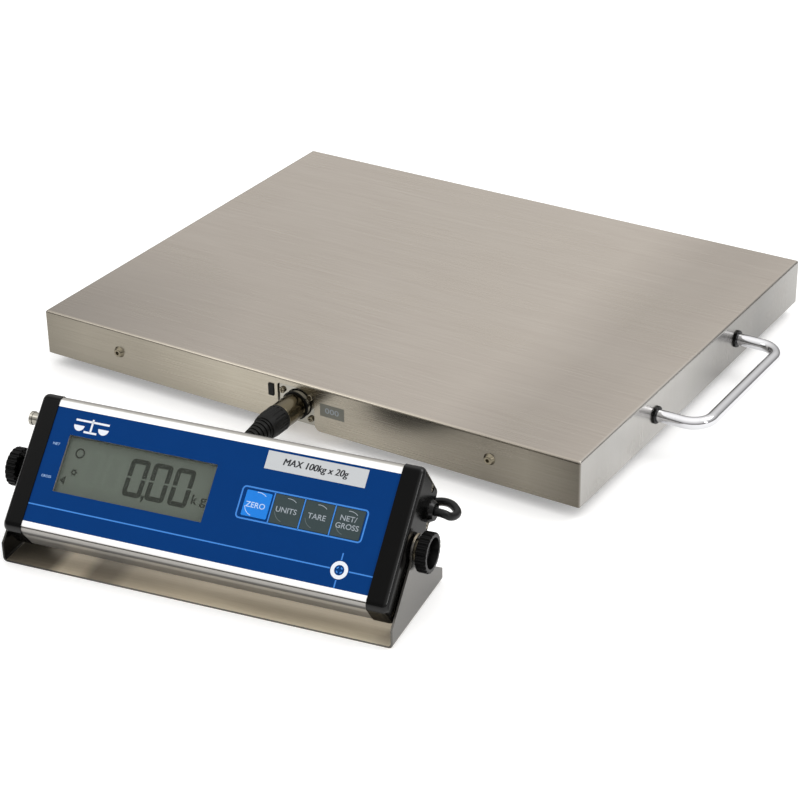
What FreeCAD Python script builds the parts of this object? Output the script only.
import FreeCAD, Part
import math
import os

from FreeCAD import Placement, Rotation, Vector

# A bench scale: a stainless platform on one load cell, and an indicator that tilts in its own bracket.
# Units are millimetres, +Z is up and the surface that everything stands on is z = 0.
# Everything is drawn from the tray's front left corner, X right and Y back, and moved to the origin at the end.

# ---- platform: driving dimensions ----
TRAY_WIDTH = 500.0
TRAY_DEPTH = 400.0
SKIRT_HEIGHT = 38.7
SKIRT_LIFT = 11.0
TRAY_SHEET = 1.5
TRAY_TOP = SKIRT_LIFT + SKIRT_HEIGHT
TRAY_UNDER = TRAY_TOP - TRAY_SHEET
TRAY_EDGE_RADIUS = 2.2
TRAY_CORNER_RADIUS = 1.6
SCREW_INSET = 76.2
SCREW_HEIGHT = 30.5
SCREW_RADIUS = 2.5
NOTCH_WIDTH = 34.0
NOTCH_TOP = 44.5
NOTCH_CORNER = 5.0
ACCESS_LOW = (225.0, 32.1)
ACCESS_HIGH = (229.2, 41.7)
TRAY_TRAVEL = 0.9

RAIL_HEIGHT = 22.0
RAIL_WIDTH = 20.0
RAIL_WALL = 2.0
RAIL_END = 4.0
RAIL_BOTTOM = TRAY_UNDER - RAIL_HEIGHT
CROSS_PLATE = 4.2
CROSS_BOTTOM = TRAY_UNDER - CROSS_PLATE

BASE_BOTTOM = 14.0
BASE_FLAT_HEIGHT = 10.0
BASE_SIDE_HEIGHT = 20.0
BASE_SIDE_LOW = 25.0
BASE_SIDE_HIGH = 50.0
BASE_END_INSET = 45.0
BASE_END_DEPTH = 30.0
BEAM_THICK = 4.0

MIDDLE_X = TRAY_WIDTH / 2
MIDDLE_Y = TRAY_DEPTH / 2
CELL_LENGTH = 130.0
CELL_WIDTH = 30.0
CELL_LOW = 20.5
CELL_HIGH = 42.5
CELL_SCREW_REACH = 15.0
CELL_SCREW_SPREAD = 15.0

FOOT_PAD_RADIUS = 16.0
FOOT_PAD_HEIGHT = 7.0
FOOT_STUD_RADIUS = 4.0
FOOT_STUD_TOP = 31.0
FOOT_INSET_X = 37.5
FOOT_INSET_Y = 60.0
RUNNING_GAP = 0.05

# ---- handle ----
HANDLE_REACH = 39.7
HANDLE_HALF_SPREAD = 74.5
HANDLE_FEET = (MIDDLE_Y - HANDLE_HALF_SPREAD, MIDDLE_Y + HANDLE_HALF_SPREAD)
HANDLE_HEIGHT = 29.7
HANDLE_RADIUS = 5.0
HANDLE_BEND = 17.0
RING_RADIUS = 7.2
RING_THICK = 2.0

# ---- connector and plug, on the tray's middle, pointing forwards ----
SOCKET_HEIGHT = 29.0
WALL_FRONT = 4.0
WALL_SHEET = 1.5
FLANGE_WIDTH = 33.6
FLANGE_HEIGHT = 30.0
FLANGE_FRONT = 1.6
SOCKET_SCREW_X = 13.0
SOCKET_SCREW_Z = 9.5
SHELL_RADIUS = 9.3
SHELL_BORE = 8.2
SOCKET_RADIUS = 11.3
SOCKET_FRONT = -0.6
PLUG_SHELL_RADIUS = 10.7
PLUG_SHELL_FRONT = -23.5
PLUG_COLLAR_FRONT = -44.0
PLUG_BOOT_FRONT = -84.0
PLUG_BOOT_RADII = (8.8, 3.7)
PLUG_BOOT_GROOVES = 9

# ---- cable ----
CABLE_RADIUS = 3.0
CABLE_LIE = CABLE_RADIUS + 0.05
COIL_MIDDLE = (165.0, 142.0)
COIL_INNER = 24.0
COIL_OUTER = 42.0
COIL_HEIGHT = 18.0
PLUG_RUN = 14.0

# ---- indicator: its bracket's frame is u (right), v (back), z (up) ----
BRACKET_CORNER = (168.4, -257.1)
BRACKET_YAW = 9.07
BRACKET_LENGTH = 304.2
BRACKET_DEPTH = 90.4
BRACKET_SHEET = 1.5
EAR_FRONT_HEIGHT = 15.0
EAR_BOSS_RADIUS = 12.0
BEND_OUTER = 3.5
BEND_INNER = 2.0
PIVOT_V = 47.0
PIVOT_Z = 51.0
STUD_RADIUS = 3.0
STUD_CLEARANCE = 3.3

# The housing's frame is u (right), s (up its face) and n (out of its face).
FACE_TILT = 45.0
FACE_V = 3.2
FACE_Z = 37.8
CAP_OUT = 3.0
CAP_LENGTH = 15.5
PANEL_LOW = CAP_OUT + CAP_LENGTH
PANEL_HIGH = BRACKET_LENGTH - PANEL_LOW
PANEL_FOOT = -1.1
PANEL_TOP = 85.5
OVERLAY_DEEP = 0.5
OVERLAY_THICK = 0.45
HOUSING_SECTION = [(-8.9, 0.0), (94.4, 0.0), (88.4, -40.0), (12.0, -40.0), (-12.4, -25.8)]
HOUSING_FRONT_RADII = (6.0, 5.0)
HOUSING_BACK_RADIUS = 5.0
HOUSING_WALL = 2.0
CAP_PROUD = 0.6
CAP_WALL = 2.5
CAP_END_RADIUS = 4.5
CAP_SCREWS = [(85.6, -25.5), (61.0, -35.0), (11.5, -34.2), (-6.1, -16.5)]
SCREW_PORT_RADIUS = 3.2
INSERT_HIGH = BRACKET_LENGTH - CAP_OUT - CAP_WALL
INSERT_LOW = INSERT_HIGH - 9.0
INSERT_RADIUS = 5.0
PIVOT_STUD_TIP = INSERT_LOW + 0.5
BOARD_BACK = -10.6
BOARD_FRONT = -9.0
WINDOW_LOW = (34.0, 24.0)
WINDOW_HIGH = (152.3, 66.5)
WINDOW_BORDER = 2.5
WINDOW_THICK = 0.8
DISPLAY_BORDER = (4.0, 3.0)
KEY_NAMES = ["zero_key", "units_key", "tare_key", "net_key"]
KEY_FIRST = 188.9
KEY_PITCH = 22.95
KEY_MIDDLE_S = 44.4
KEY_SIZE = (21.5, 20.9)
ZERO_KEY_SIZE = (19.4, 18.6)
KEY_GAP = 0.2
KEY_STEM_RADIUS = 2.0
KEY_TRAVEL = 0.5
GLAND_S = 70.0
GLAND_N = -27.0
GLAND_FACE = 307.0
CHARGER_S = 76.6
CHARGER_N = -16.5
CHARGER_RADIUS = 4.8
CHARGER_BORE = 3.4
KNOB_RADIUS = 14.5
KNOB_BOSS = 305.0
KNOB_INNER = 307.0
KNOB_OUTER = 315.0
KNOB_FLUTES = 22
KNOB_FLUTE_RADIUS = 1.45
KNOB_FLUTE_REACH = 14.75
KNOB_RECESS = 6.5
KNOB_HUB_DEEP = 4.0
LEFT_KNOB_LOOSE = 2.5

PARTS = {}


# ---- small helpers ----
def box(low, high):
    return Part.makeBox(high[0] - low[0], high[1] - low[1], high[2] - low[2], Vector(*low))


def cylinder(start, end, radius):
    run = Vector(*end) - Vector(*start)
    return Part.makeCylinder(radius, run.Length, Vector(*start), run)


def cone(start, end, radius_start, radius_end):
    run = Vector(*end) - Vector(*start)
    return Part.makeCone(radius_start, radius_end, run.Length, Vector(*start), run)


def along(axis, test=None):
    """Picks the straight edges that run along an axis, and pass a test on their middle."""

    def chosen(edge):
        if edge.Curve.TypeId != "Part::GeomLine":
            return False
        straight = abs(edge.Curve.Direction.dot(axis)) > 0.999
        return straight and (test is None or test(edge.CenterOfMass))

    return chosen


def on_plane(axis, height):
    """Picks the edges that lie in one plane across an axis."""

    def chosen(edge):
        return all(abs(p.Point.dot(axis) - height) < 0.001 for p in edge.Vertexes)

    return chosen


def soften(shape, radius, chosen):
    return shape.makeFillet(radius, [edge for edge in shape.Edges if chosen(edge)])


def prism(outline, run):
    """A solid from a closed outline of points, swept along a run."""
    points = [Vector(*p) for p in outline]
    return Part.Face(Part.makePolygon(points + points[:1])).extrude(Vector(*run))


def hexagon(start, end, across):
    """A hexagonal bar from start to end along X or Z, given its size across flats."""
    run = Vector(*end) - Vector(*start)
    turn = Rotation(Vector(0, 0, 1), run)
    reach = across / math.sqrt(3)
    turns = [a * math.pi / 3 for a in range(6)]
    corners = [Vector(reach * math.cos(a), reach * math.sin(a), 0) for a in turns]
    placed = [turn.multVec(c) + Vector(*start) for c in corners]
    return Part.Face(Part.makePolygon(placed + placed[:1])).extrude(run)


def inset_outline(points, inset):
    """Moves every side of a convex clockwise outline inwards by the inset."""
    moved = []
    for before, here, after in zip(points[-1:] + points[:-1], points, points[1:] + points[:1]):
        sides = []
        for start, end in ((before, here), (here, after)):
            length = math.hypot(end[0] - start[0], end[1] - start[1])
            along_side = ((end[0] - start[0]) / length, (end[1] - start[1]) / length)
            inwards = (along_side[1], -along_side[0])
            sides.append((along_side, inwards[0] * here[0] + inwards[1] * here[1] + inset, inwards))
        (_, reach_a, way_a), (_, reach_b, way_b) = sides
        cross = way_a[0] * way_b[1] - way_a[1] * way_b[0]
        moved.append(
            (
                (reach_a * way_b[1] - reach_b * way_a[1]) / cross,
                (reach_b * way_a[0] - reach_a * way_b[0]) / cross,
            )
        )
    return moved


def keep(name, shape, place=None):
    """Stores one node, moved into the tray corner's frame."""
    if place is not None:
        shape = shape.copy()
        shape.Placement = place.multiply(shape.Placement)
    PARTS[name] = shape


# ---- frames ----
BRACKET_PLACE = Placement(Vector(*BRACKET_CORNER, 0), Rotation(Vector(0, 0, 1), BRACKET_YAW))
FACE_LEAN = Placement(Vector(0, FACE_V, FACE_Z), Rotation(Vector(1, 0, 0), FACE_TILT))
FACE_PLACE = BRACKET_PLACE.multiply(FACE_LEAN)
SLOPE = math.cos(math.radians(FACE_TILT))
PIVOT_S = ((PIVOT_V - FACE_V) + (PIVOT_Z - FACE_Z)) * SLOPE
PIVOT_N = (-(PIVOT_V - FACE_V) + (PIVOT_Z - FACE_Z)) * SLOPE


# ---- bent rods and cable tubes ----
def bent_line(points, bend=None):
    """Straight runs joined by tangent arcs: with no bend given, each as large as its two runs allow."""
    corners = [Vector(*p) for p in points]
    edges = []
    radii = []
    at = corners[0]
    for before, here, after in zip(corners, corners[1:], corners[2:]):
        way_in = (here - before).normalize()
        way_out = (after - here).normalize()
        half = way_in.getAngle(way_out) / 2
        shorter = min((here - before).Length, (after - here).Length)
        radius = bend if bend else 0.45 * shorter / math.tan(half)
        setback = radius * math.tan(half)
        start = here - way_in * setback
        end = here + way_out * setback
        inwards = (way_out - way_in).normalize()
        middle = here + inwards * (radius / math.cos(half) - radius)
        edges.append(Part.LineSegment(at, start).toShape())
        edges.append(Part.Arc(start, middle, end).toShape())
        radii.append(radius)
        at = end
    edges.append(Part.LineSegment(at, corners[-1]).toShape())
    return Part.Wire(edges), radii


def tube(name, points, radius, bend=None):
    """A round solid along a bent line. Prints its length, bends, and volume against section x length."""
    path, radii = bent_line(points, bend)
    way = Vector(*points[1]) - Vector(*points[0])
    ring = Part.Wire([Part.makeCircle(radius, Vector(*points[0]), way)])
    solid = path.makePipeShell([ring], True, False)
    share = solid.Volume / (math.pi * radius**2 * path.Length)
    bends = [round(r, 1) for r in radii]
    print(f"{name}: length {path.Length:.1f}, radii {bends}, volume share {share:.4f}")
    return solid


# ---- platform ----
def make_tray():
    up = Vector(0, 0, 1)
    outer = box((0, 0, SKIRT_LIFT), (TRAY_WIDTH, TRAY_DEPTH, TRAY_TOP))
    outer = soften(outer, TRAY_CORNER_RADIUS, along(up))
    outer = soften(outer, TRAY_EDGE_RADIUS, on_plane(up, TRAY_TOP))
    hollow = box(
        (TRAY_SHEET, TRAY_SHEET, SKIRT_LIFT - 1),
        (TRAY_WIDTH - TRAY_SHEET, TRAY_DEPTH - TRAY_SHEET, TRAY_UNDER),
    )
    tray = outer.cut(hollow)
    half = NOTCH_WIDTH / 2
    notch = box(
        (MIDDLE_X - half, -1, SKIRT_LIFT - 1),
        (MIDDLE_X + half, TRAY_SHEET + 1, NOTCH_TOP),
    )
    notch = soften(notch, NOTCH_CORNER / 2, along(Vector(0, 1, 0), lambda p: p.z > NOTCH_TOP - 1))
    cuts = [notch]
    for side in (-1, 1):
        edge_x = MIDDLE_X + side * half
        low = (min(edge_x, edge_x + side * NOTCH_CORNER), -1, SKIRT_LIFT - 1)
        high = (max(edge_x, edge_x + side * NOTCH_CORNER), TRAY_SHEET + 1, SKIRT_LIFT + NOTCH_CORNER)
        middle = (edge_x + side * NOTCH_CORNER, -2, SKIRT_LIFT + NOTCH_CORNER)
        end = (middle[0], TRAY_SHEET + 2, middle[2])
        cuts.append(box(low, high).cut(cylinder(middle, end, NOTCH_CORNER)))
    cuts.append(box((ACCESS_LOW[0], -1, ACCESS_LOW[1]), (ACCESS_HIGH[0], TRAY_SHEET + 1, ACCESS_HIGH[1])))
    for x in (SCREW_INSET, TRAY_WIDTH - SCREW_INSET):
        for y in (-1, TRAY_DEPTH - TRAY_SHEET - 1):
            through = (x, y + TRAY_SHEET + 2, SCREW_HEIGHT)
            cuts.append(cylinder((x, y, SCREW_HEIGHT), through, SCREW_RADIUS + 0.2))
    for y in HANDLE_FEET:
        start = (TRAY_WIDTH - TRAY_SHEET - 1, y, HANDLE_HEIGHT)
        cuts.append(cylinder(start, (TRAY_WIDTH + 1, y, HANDLE_HEIGHT), SCREW_RADIUS + 0.2))
    keep("tray", tray.cut(Part.makeCompound(cuts)))


def make_access_plug():
    margin = 0.4
    head = box(
        (ACCESS_LOW[0] - margin, -0.8, ACCESS_LOW[1] - margin),
        (ACCESS_HIGH[0] + margin, 0, ACCESS_HIGH[1] + margin),
    )
    head = soften(head, 0.5, along(Vector(0, 1, 0)))
    neck = box((ACCESS_LOW[0], 0, ACCESS_LOW[1]), (ACCESS_HIGH[0], 2.4, ACCESS_HIGH[1]))
    keep("access_plug", head.fuse(neck))


def button_screw(x, y, way):
    """A button-head screw along Y with a hexagon socket. The way is +1 when it points backwards."""
    start = (x, y - way * 3.0, SCREW_HEIGHT)
    face = (x, y, SCREW_HEIGHT)
    head = cone(start, face, 3.2, 4.9)
    head = soften(head, 1.0, lambda e: abs(e.CenterOfMass.y - start[1]) < 0.01)
    shank = cylinder(face, (x, y + way * (TRAY_SHEET + 10), SCREW_HEIGHT), SCREW_RADIUS)
    socket = hexagon((x, y - way * 3.5, SCREW_HEIGHT), (x, y - way * 1.2, SCREW_HEIGHT), 3.0)
    return head.fuse(shank).cut(socket)


def make_tray_screws():
    screws = []
    for x in (SCREW_INSET, TRAY_WIDTH - SCREW_INSET):
        screws.append(button_screw(x, 0, 1))
        screws.append(button_screw(x, TRAY_DEPTH, -1))
    keep("tray_screws", Part.makeCompound(screws))


def make_upper_frame():
    for name, x in (("upper_rail_left", SCREW_INSET), ("upper_rail_right", TRAY_WIDTH - SCREW_INSET)):
        low = (x - RAIL_WIDTH / 2, TRAY_SHEET, RAIL_BOTTOM)
        high = (x + RAIL_WIDTH / 2, TRAY_DEPTH - TRAY_SHEET, TRAY_UNDER)
        bore_low = (low[0] + RAIL_WALL, low[1] + RAIL_END, low[2] + RAIL_WALL)
        bore_high = (high[0] - RAIL_WALL, high[1] - RAIL_END, high[2] - RAIL_WALL)
        rail = box(low, high).cut(box(bore_low, bore_high))
        through = cylinder((x, 0, SCREW_HEIGHT), (x, TRAY_DEPTH, SCREW_HEIGHT), SCREW_RADIUS)
        keep(name, rail.cut(through))
    left_end = SCREW_INSET + RAIL_WIDTH / 2
    plate = box(
        (left_end, MIDDLE_Y - 40, CROSS_BOTTOM),
        (TRAY_WIDTH - left_end, MIDDLE_Y + 40, TRAY_UNDER),
    )
    spacer = box(
        (MIDDLE_X + CELL_LENGTH / 2 - 30, MIDDLE_Y - 15, CELL_HIGH),
        (MIDDLE_X + CELL_LENGTH / 2, MIDDLE_Y + 15, CROSS_BOTTOM),
    )
    screws = []
    for x in upper_screw_places():
        bore = cylinder((x, MIDDLE_Y, CELL_HIGH - 1), (x, MIDDLE_Y, TRAY_UNDER + 1), 3.2)
        sink = cylinder((x, MIDDLE_Y, TRAY_UNDER - 3.1), (x, MIDDLE_Y, TRAY_UNDER + 1), 5.2)
        plate = plate.cut(bore).cut(sink)
        spacer = spacer.cut(bore)
        head = cylinder((x, MIDDLE_Y, TRAY_UNDER - 3.1), (x, MIDDLE_Y, TRAY_UNDER - 0.1), 5.0)
        shank = cylinder((x, MIDDLE_Y, CELL_HIGH - 10), (x, MIDDLE_Y, TRAY_UNDER - 3.1), 3.0)
        screws.append(head.fuse(shank))
    keep("upper_cross_plate", plate)
    keep("upper_spacer", spacer)
    keep("upper_screws", Part.makeCompound(screws))


def upper_screw_places():
    far = MIDDLE_X + CELL_LENGTH / 2 - CELL_SCREW_REACH
    return (far - CELL_SCREW_SPREAD / 2, far + CELL_SCREW_SPREAD / 2)


def lower_screw_places():
    return tuple(TRAY_WIDTH - x for x in upper_screw_places())


def make_load_cell():
    start_x = MIDDLE_X - CELL_LENGTH / 2
    block = box(
        (start_x, MIDDLE_Y - CELL_WIDTH / 2, CELL_LOW),
        (start_x + CELL_LENGTH, MIDDLE_Y + CELL_WIDTH / 2, CELL_HIGH),
    )
    middle_z = (CELL_LOW + CELL_HIGH) / 2
    front = MIDDLE_Y - CELL_WIDTH / 2 - 1
    back = MIDDLE_Y + CELL_WIDTH / 2 + 1
    for x in (MIDDLE_X - 15, MIDDLE_X + 15):
        block = block.cut(cylinder((x, front, middle_z), (x, back, middle_z), 8.5))
    block = block.cut(box((MIDDLE_X - 15, front, middle_z - 3), (MIDDLE_X + 15, back, middle_z + 3)))
    for x in upper_screw_places():
        block = block.cut(cylinder((x, MIDDLE_Y, CELL_HIGH - 12), (x, MIDDLE_Y, CELL_HIGH + 1), 3.0))
    for x in lower_screw_places():
        block = block.cut(cylinder((x, MIDDLE_Y, CELL_LOW - 1), (x, MIDDLE_Y, CELL_LOW + 12), 3.0))
    keep("load_cell", block)

    beam_top = BASE_BOTTOM + BEAM_THICK
    spacer = box((start_x, MIDDLE_Y - 15, beam_top), (start_x + 30, MIDDLE_Y + 15, CELL_LOW))
    beam = box(
        (BASE_SIDE_HIGH, MIDDLE_Y - 30, BASE_BOTTOM),
        (TRAY_WIDTH - BASE_SIDE_HIGH, MIDDLE_Y + 30, beam_top),
    )
    screws = []
    for x in lower_screw_places():
        bore = cylinder((x, MIDDLE_Y, BASE_BOTTOM - 1), (x, MIDDLE_Y, CELL_LOW + 1), 3.2)
        spacer = spacer.cut(bore)
        beam = beam.cut(bore)
        head = cylinder((x, MIDDLE_Y, BASE_BOTTOM - 3), (x, MIDDLE_Y, BASE_BOTTOM), 5.0)
        shank = cylinder((x, MIDDLE_Y, BASE_BOTTOM), (x, MIDDLE_Y, CELL_LOW + 10), 3.0)
        screws.append(head.fuse(shank))
    keep("lower_spacer", spacer)
    keep("base_beam", beam)
    keep("load_cell_screws", Part.makeCompound(screws))


def make_base_frame():
    """A welded rectangle of flat tubes, lower than the upper frame's rails, with the feet in its corners."""
    flat_top = BASE_BOTTOM + BASE_FLAT_HEIGHT
    rear = TRAY_DEPTH - BASE_END_INSET - BASE_END_DEPTH
    for name, y in (("base_rail_front", BASE_END_INSET), ("base_rail_rear", rear)):
        low = (BASE_SIDE_HIGH, y, BASE_BOTTOM)
        high = (TRAY_WIDTH - BASE_SIDE_HIGH, y + BASE_END_DEPTH, flat_top)
        bore = box((low[0] + 5, low[1] + 2, low[2] + 2), (high[0] - 5, high[1] - 2, high[2] - 2))
        keep(name, box(low, high).cut(bore))
    sides = (
        ("base_rail_left", BASE_SIDE_LOW, FOOT_INSET_X),
        ("base_rail_right", TRAY_WIDTH - BASE_SIDE_HIGH, TRAY_WIDTH - FOOT_INSET_X),
    )
    for name, x, foot_x in sides:
        low = (x, 20, BASE_BOTTOM)
        high = (x + BASE_SIDE_HIGH - BASE_SIDE_LOW, TRAY_DEPTH - 20, BASE_BOTTOM + BASE_SIDE_HEIGHT)
        rail = box(low, high).cut(
            box((low[0] + 2, low[1] + 4, low[2] + 2), (high[0] - 2, high[1] - 4, high[2] - 2))
        )
        for foot_y in (FOOT_INSET_Y, TRAY_DEPTH - FOOT_INSET_Y):
            bore_start = (foot_x, foot_y, BASE_BOTTOM - 1)
            bore = cylinder(bore_start, (foot_x, foot_y, BASE_BOTTOM + 4), FOOT_STUD_RADIUS + RUNNING_GAP)
            rail = rail.cut(bore)
        keep(name, rail)
    stops = []
    for x in (SCREW_INSET, TRAY_WIDTH - SCREW_INSET):
        for y in (BASE_END_INSET + BASE_END_DEPTH / 2, rear + BASE_END_DEPTH / 2):
            stops.append(cylinder((x, y, flat_top), (x, y, RAIL_BOTTOM - TRAY_TRAVEL - 0.1), 5.0))
    keep("overload_stops", Part.makeCompound(stops))


def foot_places():
    for depth_name, y in (("front", FOOT_INSET_Y), ("rear", TRAY_DEPTH - FOOT_INSET_Y)):
        for side_name, x in (("left", FOOT_INSET_X), ("right", TRAY_WIDTH - FOOT_INSET_X)):
            yield f"foot_{depth_name}_{side_name}", x, y


def make_feet():
    nuts = []
    for name, x, y in foot_places():
        pad = cylinder((x, y, 0), (x, y, FOOT_PAD_HEIGHT), FOOT_PAD_RADIUS)
        pad = soften(pad, 1.2, lambda e: e.Closed and e.CenterOfMass.z > 0.5 * FOOT_PAD_HEIGHT)
        stud = cylinder((x, y, FOOT_PAD_HEIGHT), (x, y, FOOT_STUD_TOP), FOOT_STUD_RADIUS)
        keep(name, Part.makeCompound([pad, stud]))
        nut = hexagon((x, y, 9.2), (x, y, BASE_BOTTOM), 13.0)
        nuts.append(nut.cut(cylinder((x, y, 9), (x, y, BASE_BOTTOM + 1), FOOT_STUD_RADIUS + RUNNING_GAP)))
    keep("foot_lock_nuts", Part.makeCompound(nuts))


def make_handle():
    front, back = HANDLE_FEET
    face = TRAY_WIDTH + RING_THICK
    reach = TRAY_WIDTH + HANDLE_REACH
    z = HANDLE_HEIGHT
    route = [(face, front, z), (reach, front, z), (reach, back, z), (face, back, z)]
    bar = tube("handle_bar", route, HANDLE_RADIUS, HANDLE_BEND)
    rings = []
    bolts = []
    for y in HANDLE_FEET:
        bolt_bore = cylinder((face - 1, y, z), (face + 14, y, z), SCREW_RADIUS)
        bar = bar.cut(bolt_bore)
        ring = cylinder((TRAY_WIDTH, y, z), (face, y, z), RING_RADIUS)
        ring = soften(ring, 0.7, lambda e: e.Closed and e.CenterOfMass.x > TRAY_WIDTH + 1)
        rings.append(ring.cut(cylinder((TRAY_WIDTH - 1, y, z), (face + 1, y, z), SCREW_RADIUS + 0.2)))
        inside = TRAY_WIDTH - TRAY_SHEET
        head = hexagon((inside - 3.5, y, z), (inside, y, z), 8.0)
        bolts.append(head.fuse(cylinder((inside, y, z), (face + 13, y, z), SCREW_RADIUS)))
    keep("handle_bar", bar)
    keep("handle_rings", Part.makeCompound(rings))
    keep("handle_bolts", Part.makeCompound(bolts))


# ---- connector ----
def make_connector():
    x = MIDDLE_X
    z = SOCKET_HEIGHT
    wall_back = WALL_FRONT + WALL_SHEET
    bottom = BASE_BOTTOM - 1.4
    wall = box((x - 35, WALL_FRONT, bottom), (x + 35, wall_back, 46))
    foot = box((x - 35, WALL_FRONT, bottom), (x + 35, BASE_END_INSET + BASE_END_DEPTH, BASE_BOTTOM))
    wall = wall.fuse(foot).removeSplitter()
    wall = wall.cut(cylinder((x, 0, z), (x, 10, z), SOCKET_RADIUS + 0.9))

    flange = box(
        (x - FLANGE_WIDTH / 2, FLANGE_FRONT, z - FLANGE_HEIGHT / 2),
        (x + FLANGE_WIDTH / 2, WALL_FRONT, z + FLANGE_HEIGHT / 2),
    )
    flange = soften(flange, 3.0, along(Vector(0, 1, 0)))
    barrel = cylinder((x, SOCKET_FRONT, z), (x, 25, z), SOCKET_RADIUS)
    barrel = soften(barrel, 0.4, lambda e: e.Closed and e.CenterOfMass.y < 0)
    socket = flange.fuse(barrel)
    socket = socket.cut(cylinder((x, -4, z), (x, 26, z), SHELL_RADIUS + RUNNING_GAP))

    screws = []
    for dx in (-SOCKET_SCREW_X, SOCKET_SCREW_X):
        for dz in (-SOCKET_SCREW_Z, SOCKET_SCREW_Z):
            at_x, at_z = x + dx, z + dz
            hole = cylinder((at_x, 0, at_z), (at_x, 12, at_z), 1.5)
            socket = socket.cut(hole)
            wall = wall.cut(hole)
            head = cylinder((at_x, -0.4, at_z), (at_x, FLANGE_FRONT, at_z), 2.6)
            head = soften(head, 0.7, lambda e: e.Closed and e.CenterOfMass.y < 0)
            shank = cylinder((at_x, FLANGE_FRONT, at_z), (at_x, 9, at_z), 1.5)
            slot = box((at_x - 2.0, -1, at_z - 0.35), (at_x + 2.0, 0.4, at_z + 0.35))
            cross = box((at_x - 0.35, -1, at_z - 2.0), (at_x + 0.35, 0.4, at_z + 2.0))
            screws.append(head.fuse(shank).cut(slot.fuse(cross)))
    insert = cylinder((x, 14, z), (x, 25, z), SHELL_RADIUS + RUNNING_GAP)
    pins = []
    for turn in (90, 210, 330):
        pin_x = x + 4.2 * math.cos(math.radians(turn))
        pin_z = z + 4.2 * math.sin(math.radians(turn))
        insert = insert.cut(cylinder((pin_x, 13, pin_z), (pin_x, 22, pin_z), 1.2))
        pins.append(cylinder((pin_x, 3, pin_z), (pin_x, 22, pin_z), 1.2))
    keep("connector_bracket", wall)
    keep("cable_socket", socket)
    keep("socket_screws", Part.makeCompound(screws))
    keep("socket_insert", Part.makeCompound([insert] + pins))


def make_plug():
    x = MIDDLE_X
    z = SOCKET_HEIGHT
    shell = cylinder((x, PLUG_SHELL_FRONT, z), (x, 13, z), SHELL_RADIUS)
    sleeve = cylinder((x, PLUG_SHELL_FRONT, z), (x, SOCKET_FRONT - 0.8, z), PLUG_SHELL_RADIUS)
    sleeve = soften(sleeve, 0.5, lambda e: e.Closed)
    shell = shell.fuse(sleeve)
    keep("plug_shell", shell.cut(cylinder((x, PLUG_SHELL_FRONT - 1, z), (x, 14, z), SHELL_BORE)))

    back, front = PLUG_SHELL_FRONT, PLUG_COLLAR_FRONT
    profile = [(back, 10.7), (back - 1.0, 11.0), (back - 13, 10.9), (front + 2, 10.2), (front, 9.6)]
    sides = [Vector(0, y, radius) for y, radius in profile]
    outline = [Vector(0, front, 0), Vector(0, back, 0)] + sides
    section = Part.Face(Part.makePolygon(outline + outline[:1]))
    collar = section.revolve(Vector(0, 0, 0), Vector(0, 1, 0), 360)
    cuts = []
    for turn in range(0, 360, 20):
        way = math.radians(turn)
        at = (11.9 * math.cos(way), 11.9 * math.sin(way))
        cuts.append(cylinder((at[0], front + 4, at[1]), (at[0], back - 3, at[1]), 1.4))
    collar = collar.cut(Part.makeCompound(cuts))
    place = Placement(Vector(x, 0, z), Rotation())
    keep("plug_collar", collar, place)

    wide, narrow = PLUG_BOOT_RADII
    boot = cone((x, front, z), (x, PLUG_BOOT_FRONT, z), wide, narrow)
    slope = (wide - narrow) / (front - PLUG_BOOT_FRONT)
    rings = []
    for k in range(PLUG_BOOT_GROOVES):
        groove = front - 2.0 - 3.9 * k
        floor = wide - slope * (front - groove) - 1.0
        ring = cylinder((x, groove, z), (x, groove - 1.3, z), wide + 1)
        rings.append(ring.cut(cylinder((x, groove + 1, z), (x, groove - 2.3, z), floor)))
    keep("plug_boot", boot.cut(Part.makeCompound(rings)))


# ---- indicator bracket and pivot ----
def make_bracket():
    length, depth = BRACKET_LENGTH, BRACKET_DEPTH
    sheet = BRACKET_SHEET
    channel = box((0, 0, 0), (length, depth, 70))
    channel = soften(channel, BEND_OUTER, along(Vector(0, 1, 0), lambda p: p.z < 1))
    hollow = box((sheet, -1, sheet), (length - sheet, depth + 1, 71))
    hollow = soften(hollow, BEND_INNER, along(Vector(0, 1, 0), lambda p: p.z < 2))
    channel = channel.cut(hollow)
    outline = [
        (-1, 0, 0),
        (-1, 0, EAR_FRONT_HEIGHT),
        (-1, 39.0, 52.0),
        (-1, 42.1, 43.7),
        (-1, 75.8, 21.0),
        (-1, depth, 11.2),
        (-1, depth, 0),
    ]
    ears = prism(outline, (length + 2, 0, 0))
    boss = cylinder((-1, PIVOT_V, PIVOT_Z), (length + 1, PIVOT_V, PIVOT_Z), EAR_BOSS_RADIUS)
    bracket = channel.common(ears.fuse(boss))
    bore = cylinder((-2, PIVOT_V, PIVOT_Z), (length + 2, PIVOT_V, PIVOT_Z), STUD_CLEARANCE)
    keep("bracket", bracket.cut(bore), BRACKET_PLACE)


def washer(low, high, radius):
    disc = cylinder((low, PIVOT_V, PIVOT_Z), (high, PIVOT_V, PIVOT_Z), radius)
    return disc.cut(cylinder((low - 1, PIVOT_V, PIVOT_Z), (high + 1, PIVOT_V, PIVOT_Z), STUD_CLEARANCE))


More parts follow.
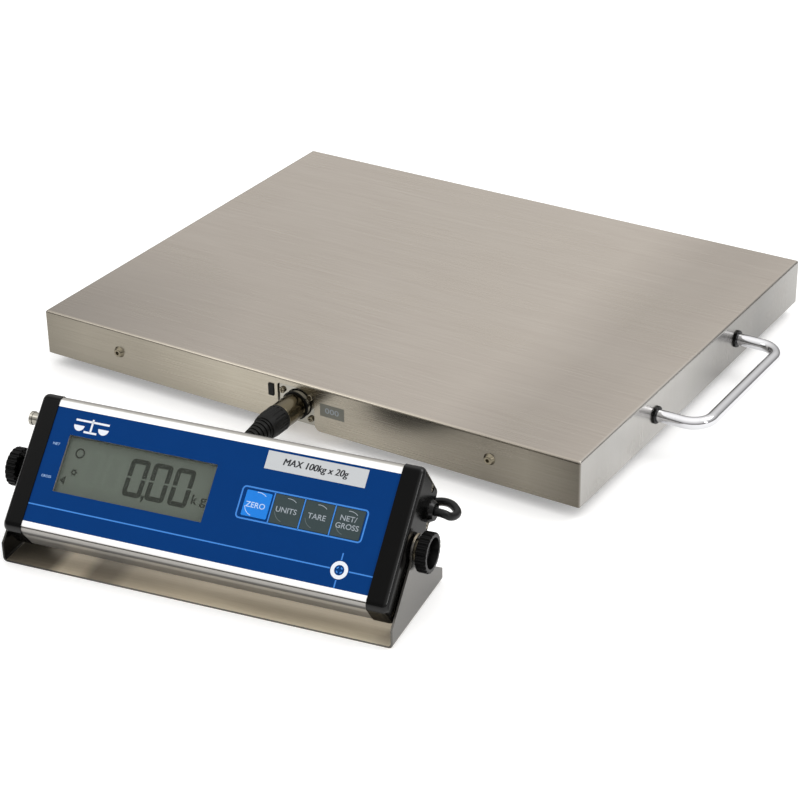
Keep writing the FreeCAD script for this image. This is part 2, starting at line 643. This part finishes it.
def make_pivot():
    """Clamping knobs, their studs and washers: the stud turns in the cap's insert and pinches the ear."""
    length = BRACKET_LENGTH
    sheet = BRACKET_SHEET
    cap_face = length - CAP_OUT
    ear_washers = [washer(length, length + 0.7, 8.0), washer(-0.7, 0, 8.0)]
    keep("ear_washers", Part.makeCompound(ear_washers), BRACKET_PLACE)
    friction = [washer(cap_face, length - sheet, 9.5), washer(sheet, CAP_OUT, 9.5)]
    keep("friction_washers", Part.makeCompound(friction), BRACKET_PLACE)

    knob = cylinder((KNOB_INNER, PIVOT_V, PIVOT_Z), (KNOB_OUTER, PIVOT_V, PIVOT_Z), KNOB_RADIUS)
    knob = soften(knob, 1.0, lambda e: e.Closed)
    flutes = []
    for k in range(KNOB_FLUTES):
        way = 2 * math.pi * k / KNOB_FLUTES
        at = (PIVOT_V + KNOB_FLUTE_REACH * math.cos(way), PIVOT_Z + KNOB_FLUTE_REACH * math.sin(way))
        flutes.append(cylinder((KNOB_INNER - 1, *at), (KNOB_OUTER + 1, *at), KNOB_FLUTE_RADIUS))
    knob = knob.cut(Part.makeCompound(flutes))
    recess_floor = KNOB_OUTER - KNOB_RECESS
    recess_mouth = (KNOB_OUTER + 0.01, PIVOT_V, PIVOT_Z)
    knob = knob.cut(cone((recess_floor, PIVOT_V, PIVOT_Z), recess_mouth, 9.6, 11.2))
    hub = cylinder((recess_floor - 1, PIVOT_V, PIVOT_Z), (KNOB_OUTER - KNOB_HUB_DEEP, PIVOT_V, PIVOT_Z), 5.0)
    hub = soften(hub, 0.6, lambda e: e.Closed and e.CenterOfMass.x > recess_floor)
    boss = cylinder((KNOB_BOSS, PIVOT_V, PIVOT_Z), (KNOB_INNER + 1, PIVOT_V, PIVOT_Z), 8.0)
    knob = knob.fuse(hub).fuse(boss).removeSplitter()
    stud_end = KNOB_OUTER - KNOB_HUB_DEEP - 1.2
    knob = knob.cut(cylinder((KNOB_BOSS - 1, PIVOT_V, PIVOT_Z), (stud_end, PIVOT_V, PIVOT_Z), STUD_RADIUS))
    stud = cylinder((PIVOT_STUD_TIP, PIVOT_V, PIVOT_Z), (stud_end, PIVOT_V, PIVOT_Z), STUD_RADIUS)
    insert = cylinder((INSERT_LOW, PIVOT_V, PIVOT_Z), (INSERT_HIGH, PIVOT_V, PIVOT_Z), INSERT_RADIUS)
    bore_low = (INSERT_LOW - 1, PIVOT_V, PIVOT_Z)
    bore_high = (INSERT_HIGH + 1, PIVOT_V, PIVOT_Z)
    insert = insert.cut(cylinder(bore_low, bore_high, STUD_RADIUS + RUNNING_GAP))
    keep("right_knob", knob, BRACKET_PLACE)
    keep("right_knob_stud", stud, BRACKET_PLACE)
    # The left knob is slackened, so that it and its stud stand a little further out.
    slack = BRACKET_PLACE.multiply(Placement(Vector(-LEFT_KNOB_LOOSE, 0, 0), Rotation()))
    keep("left_knob", mirrored(knob), slack)
    keep("left_knob_stud", mirrored(stud), slack)
    keep("pivot_inserts", Part.makeCompound([insert, mirrored(insert)]), BRACKET_PLACE)


def mirrored(shape):
    """The same piece at the indicator's other end."""
    return shape.mirror(Vector(BRACKET_LENGTH / 2, 0, 0), Vector(1, 0, 0))


# ---- indicator housing ----
def section_prism(inset, low_u, high_u, front_radius, back_radius):
    """A length of the housing's section, with its front and back edges rounded."""
    outline = [(low_u, s, n) for s, n in inset_outline(HOUSING_SECTION, inset)]
    solid = prism(outline, (high_u - low_u, 0, 0))
    along_u = Vector(1, 0, 0)
    solid = soften(solid, front_radius[0], along(along_u, lambda p: p.z > -5 and p.y < 10))
    solid = soften(solid, front_radius[1], along(along_u, lambda p: p.z > -5 and p.y > 80))
    return soften(solid, back_radius, along(along_u, lambda p: p.z < -20))


def make_housing():
    body = section_prism(0.0, PANEL_LOW, PANEL_HIGH, HOUSING_FRONT_RADII, HOUSING_BACK_RADIUS)
    hollow = section_prism(HOUSING_WALL + OVERLAY_DEEP, PANEL_LOW - 1, PANEL_HIGH + 1, (3.5, 2.5), 2.5)
    body = body.cut(hollow)
    cuts = [box((PANEL_LOW - 1, PANEL_FOOT, -OVERLAY_DEEP), (PANEL_HIGH + 1, PANEL_TOP, 1))]
    groove = [(PANEL_LOW - 1, -6.6, -0.4), (PANEL_LOW - 1, -5.4, 0.3), (PANEL_LOW - 1, -5.6, -1.6)]
    cuts.append(prism(groove, (PANEL_HIGH - PANEL_LOW + 2, 0, 0)))
    cuts.append(box((*WINDOW_LOW, -5), (*WINDOW_HIGH, 1)))
    for _, middle, size in key_places():
        low, high = key_box(middle, size, KEY_GAP)
        cuts.append(box((*low, -5), (*high, 1)))
    body = body.cut(Part.makeCompound(cuts))
    ledges = []
    for low_s, high_s in ((-8.4, -4.7), (87.4, 90.9)):
        for low_n, high_n in ((BOARD_BACK - 1.5, BOARD_BACK - 0.1), (BOARD_FRONT + 0.1, BOARD_FRONT + 1.5)):
            ledges.append(box((PANEL_LOW, low_s, low_n), (PANEL_HIGH, high_s, high_n)))
    for ledge in ledges:
        body = body.fuse(ledge)
    for s, n in CAP_SCREWS:
        port = cylinder((PANEL_LOW, s, n), (PANEL_HIGH, s, n), SCREW_PORT_RADIUS)
        body = body.fuse(port.common(section_prism(1.0, PANEL_LOW, PANEL_HIGH, (5.0, 4.0), 4.0)))
    for s, n in CAP_SCREWS:
        body = body.cut(cylinder((PANEL_LOW - 1, s, n), (PANEL_HIGH + 1, s, n), 1.5))
    keep("housing", body.removeSplitter(), FACE_PLACE)


def key_places():
    for k, name in enumerate(KEY_NAMES):
        size = ZERO_KEY_SIZE if k == 0 else KEY_SIZE
        yield name, (KEY_FIRST + KEY_PITCH * k, KEY_MIDDLE_S), size


def key_box(middle, size, grow):
    low = (middle[0] - size[0] / 2 - grow, middle[1] - size[1] / 2 - grow)
    high = (middle[0] + size[0] / 2 + grow, middle[1] + size[1] / 2 + grow)
    return low, high


def make_front():
    overlay = box(
        (PANEL_LOW + 0.05, PANEL_FOOT + 0.05, -OVERLAY_DEEP),
        (PANEL_HIGH - 0.05, PANEL_TOP - 0.05, -OVERLAY_DEEP + OVERLAY_THICK),
    )
    cuts = [box((*WINDOW_LOW, -2), (*WINDOW_HIGH, 2))]
    for _, middle, size in key_places():
        low, high = key_box(middle, size, KEY_GAP)
        cuts.append(box((*low, -2), (*high, 2)))
    keep("front_overlay", overlay.cut(Part.makeCompound(cuts)), FACE_PLACE)

    wall_back = -HOUSING_WALL - OVERLAY_DEEP
    window_back = wall_back - WINDOW_THICK
    window = box(
        (WINDOW_LOW[0] - WINDOW_BORDER, WINDOW_LOW[1] - WINDOW_BORDER, window_back),
        (WINDOW_HIGH[0] + WINDOW_BORDER, WINDOW_HIGH[1] + WINDOW_BORDER, wall_back),
    )
    keep("lcd_window", window, FACE_PLACE)
    beside, above = DISPLAY_BORDER
    display = box(
        (WINDOW_LOW[0] - beside, WINDOW_LOW[1] - above, BOARD_FRONT),
        (WINDOW_HIGH[0] + beside, WINDOW_HIGH[1] + above, window_back - 0.1),
    )
    keep("display_module", soften(display, 1.0, along(Vector(0, 0, 1))), FACE_PLACE)


def make_keys():
    for name, middle, size in key_places():
        low, high = key_box(middle, size, 0.0)
        cap = box((*low, -2.6), (*high, 0.15))
        cap = soften(cap, 0.9, along(Vector(0, 0, 1)))
        cap = soften(cap, 0.25, on_plane(Vector(0, 0, 1), 0.15))
        low, high = key_box(middle, size, 0.5)
        flange = box((*low, -3.5), (*high, -2.6))
        stem = cylinder((*middle, -5.3), (*middle, -3.5), KEY_STEM_RADIUS)
        keep(name, cap.fuse(flange).fuse(stem).removeSplitter(), FACE_PLACE)


def make_electronics():
    board = box((PANEL_LOW + 2, -7.0, BOARD_BACK), (PANEL_HIGH - 2, 89.9, BOARD_FRONT))
    switches = []
    for _, middle, _ in key_places():
        case = box((middle[0] - 3, middle[1] - 3, BOARD_FRONT), (middle[0] + 3, middle[1] + 3, -6.6))
        switches.append(case.fuse(cylinder((*middle, -6.6), (*middle, -5.9), 1.7)))
    chips = [
        box((200, 66, BOARD_FRONT), (212, 78, -7.4)),
        box((230, 4, BOARD_FRONT), (240, 20, -7.2)),
    ]
    keep("main_board", Part.makeCompound([board] + switches + chips), FACE_PLACE)
    pack = box((165, 17, -37.0), (262, 56.5, -13))
    keep("battery_pack", soften(pack, 4.0, along(Vector(1, 0, 0))), FACE_PLACE)


def end_cap(holes):
    """The left end cap, open at the extrusion, with screw recesses and a boss for the pivot's insert."""
    outer = section_prism(-CAP_PROUD, CAP_OUT, PANEL_LOW, (6.6, 5.6), 5.6)
    outer = soften(outer, CAP_END_RADIUS, on_plane(Vector(1, 0, 0), CAP_OUT))
    inner = section_prism(CAP_WALL - CAP_PROUD, CAP_OUT + CAP_WALL, PANEL_LOW + 1, (4.0, 3.0), 3.0)
    cap = outer.cut(inner)
    boss_end = CAP_OUT + CAP_WALL + 9.5
    cap = cap.fuse(cylinder((CAP_OUT + 1, PIVOT_S, PIVOT_N), (boss_end, PIVOT_S, PIVOT_N), 8.0))
    insert_face = (CAP_OUT + CAP_WALL, PIVOT_S, PIVOT_N)
    cap = cap.cut(cylinder(insert_face, (boss_end + 1, PIVOT_S, PIVOT_N), INSERT_RADIUS))
    stud_end = (CAP_OUT + 4, PIVOT_S, PIVOT_N)
    cap = cap.cut(cylinder((CAP_OUT - 1, PIVOT_S, PIVOT_N), stud_end, STUD_CLEARANCE))
    for s, n in CAP_SCREWS:
        post = cylinder((CAP_OUT + 1, s, n), (PANEL_LOW, s, n), 3.4)
        cap = cap.fuse(post)
        cap = cap.cut(cylinder((CAP_OUT - 1, s, n), (PANEL_LOW + 1, s, n), 1.6))
        cap = cap.cut(cylinder((CAP_OUT - 1, s, n), (CAP_OUT + 1.9, s, n), 3.1))
    for s, n, radius in holes:
        cap = cap.cut(cylinder((CAP_OUT - 1, s, n), (CAP_OUT + 5, s, n), radius))
    return cap.removeSplitter()


def make_caps():
    keep("left_cap", end_cap([(CHARGER_S, CHARGER_N, CHARGER_RADIUS + RUNNING_GAP)]), FACE_PLACE)
    keep("right_cap", mirrored(end_cap([(GLAND_S, GLAND_N, 6.05)])), FACE_PLACE)
    screws = []
    for s, n in CAP_SCREWS:
        head = cylinder((CAP_OUT + 0.6, s, n), (CAP_OUT + 1.9, s, n), 2.9)
        screw = head.fuse(cylinder((CAP_OUT + 1.9, s, n), (PANEL_LOW + 12, s, n), 1.5))
        screw = screw.cut(box((CAP_OUT, s - 2.0, n - 0.35), (CAP_OUT + 1.3, s + 2.0, n + 0.35)))
        screw = screw.cut(box((CAP_OUT, s - 0.35, n - 2.0), (CAP_OUT + 1.3, s + 0.35, n + 2.0)))
        screws.append(screw)
    screws += [mirrored(screw) for screw in screws]
    keep("cap_screws", Part.makeCompound(screws), FACE_PLACE)


def make_fittings():
    """The cable gland on the right cap and the charging socket on the left one."""
    face = BRACKET_LENGTH - CAP_OUT
    gland_at = (GLAND_S, GLAND_N)
    flange = hexagon((face, *gland_at), (face + 2.6, *gland_at), 15.0)
    nut = cone((face + 2.6, *gland_at), (GLAND_FACE, *gland_at), 8.2, 6.4)
    ribs = []
    for k in range(12):
        way = 2 * math.pi * k / 12
        at = (GLAND_S + 8.6 * math.cos(way), GLAND_N + 8.6 * math.sin(way))
        ribs.append(cylinder((face + 2.6, *at), (GLAND_FACE + 1, *at), 0.9))
    nut = nut.cut(Part.makeCompound(ribs))
    thread = cylinder((face - 6, *gland_at), (face, *gland_at), 6.0)
    lock = hexagon((face - 5.5, *gland_at), (face - CAP_WALL, *gland_at), 13.0)
    gland = flange.fuse(thread).fuse(nut)
    gland = gland.cut(cylinder((face - 7, *gland_at), (GLAND_FACE + 1, *gland_at), CABLE_RADIUS))
    lock = lock.cut(cylinder((face - 7, *gland_at), (face, *gland_at), 6.0))
    keep("cable_gland", Part.makeCompound([gland, lock]), FACE_PLACE)

    at = (CHARGER_S, CHARGER_N)
    barrel = cylinder((-9.0, *at), (14.0, *at), CHARGER_RADIUS)
    collar = cylinder((-1.5, *at), (CAP_OUT, *at), CHARGER_RADIUS + 1.4)
    collar = soften(collar, 0.8, lambda e: e.Closed and e.CenterOfMass.x < 0)
    rim = cylinder((-9.0, *at), (-6.4, *at), CHARGER_RADIUS + 0.5)
    rim = soften(rim, 0.4, lambda e: e.Closed)
    socket = barrel.fuse(collar).fuse(rim)
    socket = socket.cut(cylinder((-10, *at), (10, *at), CHARGER_BORE))
    insulator = cylinder((-6.0, *at), (9.0, *at), CHARGER_BORE)
    insulator = insulator.cut(cylinder((-7, *at), (4, *at), CHARGER_BORE - 0.8))
    pin = cylinder((-5.0, *at), (4.0, *at), 0.9)
    keep("charger_socket", Part.makeCompound([socket, insulator.fuse(pin)]), FACE_PLACE)


# ---- cable ----
# The lead and tail are in the bracket's frame, as u, v and height. The tail's last two points are at the plug.
LEAD_ROUTE = [
    (307.0, 71.8, 68.2),
    (313.0, 71.8, 68.2),
    (317.2, 75.5, 63.6),
    (318.9, 86.0, 61.8),
    (308.5, 96.0, 62.8),
    (293.6, 99.5, 58.1),
    (283.0, 100.0, 50.6),
    (271.0, 101.0, 42.5),
    (258.5, 102.4, 29.5),
    (245.5, 103.6, 16.5),
    (230.0, 103.4, 6.8),
    (211.0, 102.2, CABLE_LIE),
    (189.0, 102.9, CABLE_LIE),
    (167.0, 103.4, CABLE_LIE),
]
TAIL_ROUTE = [
    (153.0, 109.0, 21.1),
    (138.5, 103.0, 19.0),
    (123.0, 104.5, 13.0),
    (109.5, 112.5, 11.5),
    (103.6, 125.0, 18.5),
]
WIRE_ROUTE = [
    (315.0, 200.0, 31.0),
    (332.0, 200.0, 31.0),
    (345.0, 185.0, 29.0),
    (344.0, 158.0, 28.0),
    (332.0, 128.0, 28.0),
    (306.0, 98.0, 28.3),
    (274.0, 74.0, 28.8),
    (250.0, 56.0, 29.0),
    (250.0, 25.0, 29.0),
]


def plug_end():
    """Where the cable leaves the boot, in the bracket's frame, and the way it leaves."""
    back = BRACKET_PLACE.inverse()
    end = back.multVec(Vector(MIDDLE_X, PLUG_BOOT_FRONT, SOCKET_HEIGHT))
    way = back.Rotation.multVec(Vector(0, -1, 0))
    return end, way


def make_cable():
    keep("cable_lead", tube("cable_lead", LEAD_ROUTE, CABLE_RADIUS), BRACKET_PLACE)
    end, way = plug_end()
    near = end + way * PLUG_RUN
    print("plug end in the bracket's frame", end, "and the point before it", near)
    route = TAIL_ROUTE + [tuple(near), tuple(end)]
    keep("cable_tail", tube("cable_tail", route, CABLE_RADIUS), BRACKET_PLACE)
    middle = (*COIL_MIDDLE, 0)
    top = (*COIL_MIDDLE, COIL_HEIGHT)
    ring = cylinder(middle, top, COIL_OUTER).cut(cylinder(middle, top, COIL_INNER))
    ring = soften(ring, 2.5, lambda e: e.Closed)
    keep("cable_coil", ring, BRACKET_PLACE)
    keep("load_cell_wire", tube("load_cell_wire", WIRE_ROUTE, 2.0))


# ---- build, move to the origin and write ----
make_tray()
make_access_plug()
make_tray_screws()
make_upper_frame()
make_load_cell()
make_base_frame()
make_feet()
make_handle()
make_connector()
make_plug()
make_bracket()
make_pivot()
make_housing()
make_front()
make_keys()
make_electronics()
make_caps()
make_fittings()
make_cable()

# The origin is the bottom centre of everything but the cable and its plug.
FURTHEST = ["tray", "handle_bar", "left_cap", "right_cap", "bracket", "left_knob"]
extents = [PARTS[name].optimalBoundingBox(False, False) for name in FURTHEST]
origin = Vector(
    (min(b.XMin for b in extents) + max(b.XMax for b in extents)) / 2,
    (min(b.YMin for b in extents) + max(b.YMax for b in extents)) / 2,
    0,
)
shift = Placement(-origin, Rotation())
os.makedirs("parts", exist_ok=True)
for name, shape in PARTS.items():
    shape.Placement = shift.multiply(shape.Placement)
    shape.exportStep(f"parts/{name}.step")

# Places that the record repeats, in millimetres.
pivot = shift.multiply(BRACKET_PLACE).multVec(Vector(0, PIVOT_V, PIVOT_Z))
tilt_axis = BRACKET_PLACE.Rotation.multVec(Vector(1, 0, 0))
face_out = FACE_PLACE.Rotation.multVec(Vector(0, 0, 1))
charger = shift.multiply(FACE_PLACE).multVec(Vector(-9.0, CHARGER_S, CHARGER_N))
print("nodes", len(PARTS), "tray corner", -origin)
print("tilt pivot", pivot, "tilt axis", tilt_axis, "face normal", face_out, "charger", charger)
for name, x, y in foot_places():
    print(name, x - origin.x, y - origin.y)
